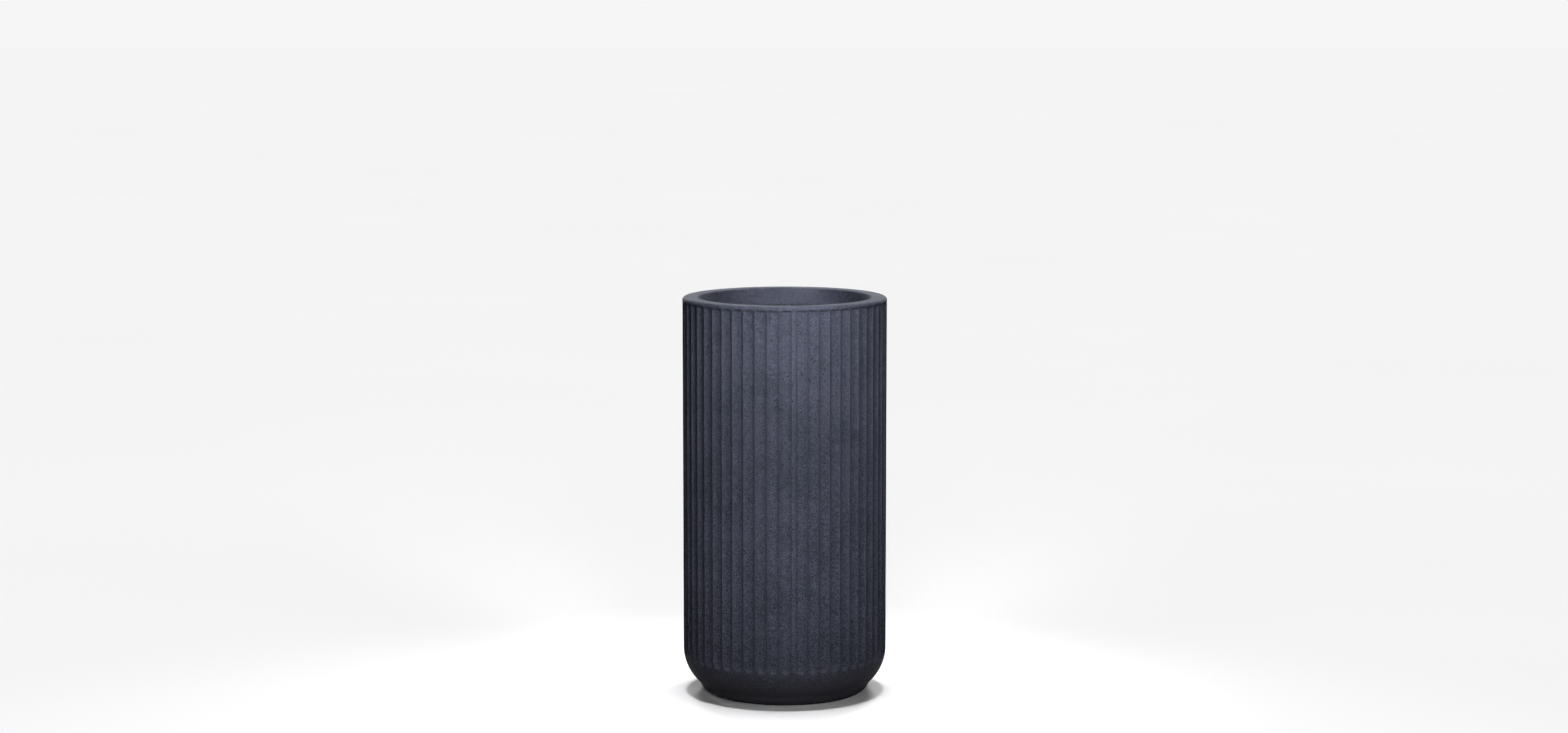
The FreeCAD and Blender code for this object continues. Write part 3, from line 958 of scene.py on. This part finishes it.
@dataclass
class FootRing(Piece):
    """Cast ring under the heel, rounded in to the ground."""

    step: float = 0.0005
    rounding: float = 0.0204
    land: float = 0.012
    inner_round: float = 0.003
    scuff: float = 0.002

    def build(self) -> bpy.types.Object:
        """Build the mesh.

        Returns:
            The piece.
        """
        wall = self.wall
        top_out = wall.heel_out(wall.foot_height, wall.heel) - self.step
        fall = self.rounding - wall.foot_height
        ground = top_out - math.sqrt(self.rounding ** 2 - fall ** 2)
        inside = ground - self.land - self.inner_round
        start = math.degrees(math.asin(fall / self.rounding))
        shape = TurnedShape(inside, wall.foot_height)
        shape.line(top_out, wall.foot_height, 10)
        shape.arc(ground, self.rounding, start - 90.0, 16)
        shape.line(inside + self.inner_round, 0.0, 4)
        shape.arc(inside + self.inner_round, self.inner_round, -90.0, 5)
        shape.line(inside, wall.foot_height, 4)
        shape.turn(0.0, ((18.0, 21, 20),)).shift(self.cast)
        shape.mark("lining", lambda place: 0.0).mark("arris", self.scuffed)
        return shape.unroll(top_out, wall.front_seam).finish(self.name)

    def cast(self, place: Vector) -> Vector:
        """Leave the outer side a little uneven, and the faces that meet others true.

        Args:
            place: Place on the true ring.

        Returns:
            The place on the cast ring.
        """
        if place.z < 0.0005 or place.z > self.wall.foot_height - 1e-5:
            return place
        return weathered(place)

    def scuffed(self, place: Vector) -> float:
        """Share of wear where the ring is dragged over the ground."""
        return max(0.0, 1.0 - place.z / self.scuff) * (0.5 + 0.5 * uneven(place, 0.012))


@dataclass
class FloorDisc(Piece):
    """Laminated floor with a recess and a hole for the plug."""

    slot: ClassVar[Slot] = Slot.LAMINATE
    side_gap: float = 0.0015
    edge_round: float = 0.002
    hole: float = 0.013
    seat: float = 0.021
    seat_depth: float = 0.003
    seat_ease: float = 0.0003
    dip: float = 0.0003

    def laid(self, place: Vector) -> Vector:
        """Sink the hand-rolled top by up to 0.6 mm, and leave what fits true.

        Args:
            place: Place on the true shape.

        Returns:
            The place on the uneven shape.
        """
        out = math.hypot(place.x, place.y)
        if place.z < self.wall.floor_top - 1e-5 or out < self.seat + 0.001:
            return place
        away = min((out - self.seat) / 0.01, 1.0)
        waves = 1.0 + uneven(place, 0.030) * 0.7 + uneven(place, 0.008) * 0.3
        return place - AXIS * (self.dip * away * waves)

    def build(self) -> bpy.types.Object:
        """Build the mesh.

        Returns:
            The piece.
        """
        wall = self.wall
        outer = wall.heel_out(wall.flange_top, wall.heel_bore) - self.side_gap
        top = wall.floor_top
        shape = TurnedShape(self.seat, top - self.seat_ease)
        shape.line(self.seat + self.seat_ease, top)
        shape.line(outer - self.edge_round, top, 34)
        shape.arc(outer - self.edge_round, top - self.edge_round, -90.0, 5)
        shape.line(outer, wall.flange_top, 2)
        shape.line(self.hole, wall.flange_top, 12)
        shape.line(self.hole, top - self.seat_depth, 3)
        shape.line(self.seat, top - self.seat_depth, 3)
        shape.line(self.seat, top - self.seat_ease, 3)
        shape.turn(0.0, ((18.0, 14, 20),)).shift(self.laid)
        return shape.unroll(outer, wall.front_seam).finish(self.name)


@dataclass
class JointStrip(Piece):
    """Strip of glass mat over a mould seam, with torn edges."""

    slot: ClassVar[Slot] = Slot.LAMINATE
    seam: float
    width: float = 0.045
    thickness: float = 0.0016
    resin: float = 0.0003
    head: float = 0.583
    foot: float = 0.031
    swell: float = 0.00025
    feather: float = 0.0009
    tear: float = 0.0022
    tear_height: float = 0.012

    def torn(self, place: Vector) -> Vector:
        """Tear the edges and thin the mat out towards them.

        Args:
            place: Place on the true strip.

        Returns:
            The place on the torn strip.
        """
        out = math.hypot(place.x, place.y)
        turn = math.atan2(place.y, place.x) - math.radians(self.seam)
        turn = (turn + math.pi) % FULL_TURN - math.pi
        half = self.width / 2 / self.wall.bore
        side = turn / half
        wander = 0.05 + 0.03 * uneven(place, 0.022, 5.0) + 0.025 * uneven(place, 0.005, 9.0)
        turned = math.radians(self.seam) + turn * (1.0 - wander * abs(side) ** 3)
        from_end = min(self.head - place.z, place.z - self.foot)
        end = max(0.0, 1.0 - from_end / self.tear_height)
        thin = max(abs(side) ** 8, end ** 3)
        if self.wall.skin(place) < self.wall.bore - self.resin - self.thickness / 2:
            out += self.feather * thin + self.swell * uneven(place, 0.009) * (1.0 - thin)
        drop = self.tear * end ** 2 * (0.5 + uneven(place, 0.006, 2.0))
        level = place.z + (drop if place.z < self.wall.top / 2 else -drop)
        return Vector((out * math.cos(turned), out * math.sin(turned), level))

    def build(self) -> bpy.types.Object:
        """Build the mesh.

        Returns:
            The piece.
        """
        wall = self.wall
        outer = wall.heel_bore - self.resin
        inner = outer - self.thickness
        outer_angle = wall.heel_angle(self.foot, outer)
        inner_angle = wall.heel_angle(self.foot, inner)
        centre = wall.heel_centre
        shape = TurnedShape(centre + inner, self.head)
        shape.line(centre + outer, self.head)
        shape.line(centre + outer, wall.heel, 90)
        shape.arc(centre, wall.heel, -outer_angle, 8)
        shape.line(wall.heel_out(self.foot, inner), self.foot)
        shape.arc(centre, wall.heel, inner_angle, 8)
        shape.line(centre + inner, self.head, 90)
        degrees = math.degrees(self.width / wall.bore)
        shape.turn(self.seam - degrees / 2, ((degrees, 26, 1),))
        shape.shift(self.torn)
        return shape.unroll(wall.bore, wall.front_seam - 90.0).finish(self.name)


@dataclass
class DrainPlug(Piece):
    """Rubber plug with a head, a hollow stem and a finger knob."""

    body: ClassVar[Body] = Body.PLUG
    slot: ClassVar[Slot] = Slot.RUBBER
    head: float = 0.0202
    head_foot: float = 0.024
    head_top: float = 0.0276
    head_round: float = 0.001
    head_ease: float = 0.0003
    stem: float = 0.0129
    stem_foot: float = 0.017
    lead: float = 0.0025
    bore: float = 0.007
    bore_roof: float = 0.0246
    neck: float = 0.004
    knob: float = 0.008
    knob_foot: float = 0.0326
    knob_top: float = 0.0376
    knob_round: float = 0.0024
    fillets: tuple[float, float] = (0.0008, 0.0012)

    def build(self) -> bpy.types.Object:
        """Build the mesh.

        Returns:
            The piece.
        """
        under, root = self.fillets
        knob_middle = self.knob - self.knob_round
        shape = TurnedShape(0.0, self.knob_top)
        shape.line(knob_middle, self.knob_top, 4)
        shape.arc(knob_middle, self.knob_top - self.knob_round, -90.0, 8)
        shape.arc(knob_middle, self.knob_foot + self.knob_round, -90.0, 8)
        shape.line(self.neck + under, self.knob_foot)
        shape.arc(self.neck + under, self.knob_foot - under, 90.0, 5)
        shape.line(self.neck, self.head_top + root, 3)
        shape.arc(self.neck + root, self.head_top + root, 90.0, 6)
        shape.line(self.head - self.head_round, self.head_top, 8)
        shape.arc(self.head - self.head_round, self.head_top - self.head_round, -90.0, 5)
        shape.line(self.head, self.head_foot + self.head_ease, 2)
        shape.line(self.head - self.head_ease, self.head_foot)
        shape.line(self.stem, self.head_foot, 3)
        shape.line(self.stem, self.stem_foot + self.lead, 3)
        shape.line(self.stem - self.lead, self.stem_foot, 2)
        shape.line(self.bore, self.stem_foot, 2)
        shape.line(self.bore, self.bore_roof, 5)
        shape.line(0.0, self.bore_roof, 3)
        return shape.turn(0.0, ((30.0, 10, 12),)).finish(self.name)


# ---------------- studio
@dataclass(frozen=True)
class SoftBox:
    """Square soft box, with a grid in front of it that narrows its beam."""

    name: str
    place: tuple[float, float, float]
    towards: tuple[float, float, float]
    side: float
    watts: float
    beam: float

    def hang(self) -> None:
        """Hang the box in the studio."""
        data = bpy.data.lights.new(self.name, "AREA")
        data.shape = "SQUARE"
        data.size = self.side
        data.energy = self.watts
        data.spread = math.radians(self.beam)
        light = put(self.name, data)
        light.location = self.place
        facing = Vector(self.towards) - Vector(self.place)
        light.rotation_euler = facing.to_track_quat("-Z", "Y").to_euler()


@dataclass(frozen=True)
class Studio:
    """Pale floor, soft lights and the camera of the photograph."""

    floor: str = "#ededee"
    cloud: str = "#eaeaeb"
    air: str = "#f6f6f7"
    floor_reach: float = 40.0
    overhead_strength: float = 3.4
    overhead_angle: float = 14.0
    lens: float = 72.225
    camera_place: tuple[float, float, float] = (-0.001, -4.69, 1.084)
    pitch: float = 7.17
    boxes: tuple[SoftBox, ...] = (
        SoftBox("front_key", (0.04, -0.65, 0.78), (0.0, 0.0, 0.52), 0.2, 0.66, 45.0),
        SoftBox("low_key", (0.04, -0.60, 0.35), (0.0, 0.0, 0.30), 0.2, 0.08, 60.0),
        SoftBox("foot_fill", (0.04, -0.80, 0.25), (0.0, 0.0, 0.20), 0.25, 0.45, 50.0),
        SoftBox("right_fill", (0.9, -1.0, 1.1), (0.0, 0.0, 0.5), 0.5, 0.40, 60.0),
        SoftBox("left_fill", (-0.9, -0.9, 0.8), (0.0, 0.0, 0.4), 0.3, 0.15, 60.0),
        SoftBox("mouth_light", (0.0, -0.90, 1.00), (0.0, 0.13, 0.585), 0.1, 0.06, 9.0),
        SoftBox("back_right", (0.5, 0.9, 1.0), (0.0, 0.0, 0.35), 0.3, 1.8, 60.0),
        SoftBox("back_left", (-0.45, 1.0, 0.9), (0.0, 0.0, 0.35), 0.3, 1.5, 60.0),
    )

    def ground(self) -> None:
        """Lay the floor, whose glow is kept off the planter to leave its flutes crisp."""
        mesh = bmesh.new()
        bmesh.ops.create_grid(mesh, x_segments=1, y_segments=1, size=self.floor_reach)
        data = bpy.data.meshes.new("studio_floor")
        mesh.to_mesh(data)
        mesh.free()
        made, tree, place = new_material("matt_paper_floor")
        # tone that drifts over more than a metre
        tone = add_node(tree, "TexNoise", {"Vector": place, "Scale": 0.8})
        colour = lay_coats(tree, linear(self.floor), ((tone, 1.0, linear(self.cloud)),))
        shader = add_node(tree, "BsdfPrincipled", {"Base Color": colour, "Roughness": 0.95,
                                                   "Specular IOR Level": 0.0})
        add_node(tree, "OutputMaterial", (shader,))
        data.materials.append(made)
        floor = put("studio_floor", data)
        floor.visible_diffuse = False

    def overhead(self) -> None:
        """Hang one broad even light straight overhead."""
        data = bpy.data.lights.new("overhead", "SUN")
        data.energy = self.overhead_strength
        data.angle = math.radians(self.overhead_angle)
        put("overhead", data)

    def camera(self) -> None:
        """Set up the camera of the photograph."""
        data = bpy.data.cameras.new("camera")
        data.lens = self.lens
        data.sensor_fit = "HORIZONTAL"
        data.sensor_width = 36.0
        viewer = put("camera", data)
        viewer.location = self.camera_place
        viewer.rotation_euler = (math.radians(90.0 - self.pitch), 0.0, 0.0)
        bpy.context.scene.camera = viewer

    def build(self) -> None:
        """Build the whole studio."""
        self.ground()
        self.overhead()
        for box in self.boxes:
            box.hang()
        world = bpy.data.worlds.new("studio_air")
        bpy.context.scene.world = world
        world.use_nodes = True
        backdrop = world.node_tree.nodes["Background"]
        backdrop.inputs["Color"].default_value = linear(self.air)
        backdrop.inputs["Strength"].default_value = 1.0
        # seen behind the planter, but throws no light on it
        world.cycles_visibility.diffuse = False
        world.cycles_visibility.glossy = False
        bpy.context.scene.view_settings.view_transform = "Standard"
        self.camera()


def main() -> None:
    """Build every piece of the planter, and the studio round it."""
    logging.basicConfig(level=logging.INFO, format="%(name)s: %(message)s")
    wall = Wall()
    finishes = {
        Slot.GELCOAT: StoneGelcoat().material(),
        Slot.LAMINATE: RawLaminate().material(),
        Slot.RUBBER: PlugRubber().material(),
    }
    pieces = (
        FlutedHalf("fluted_half_right_look", wall, 27, wall.front_seam),
        FlutedHalf("fluted_half_left_look", wall, 26, wall.back_seam),
        RimCollar("rim_collar_look", wall),
        FootRing("foot_ring_look", wall),
        FloorDisc("floor_disc_look", wall),
        JointStrip("joint_strip_front_look", wall, wall.front_seam),
        JointStrip("joint_strip_back_look", wall, wall.back_seam),
        DrainPlug("drain_plug_look", wall),
    )
    for piece in pieces:
        piece.dress(finishes[piece.slot])
    Studio().build()


if __name__ == "__main__":
    main()
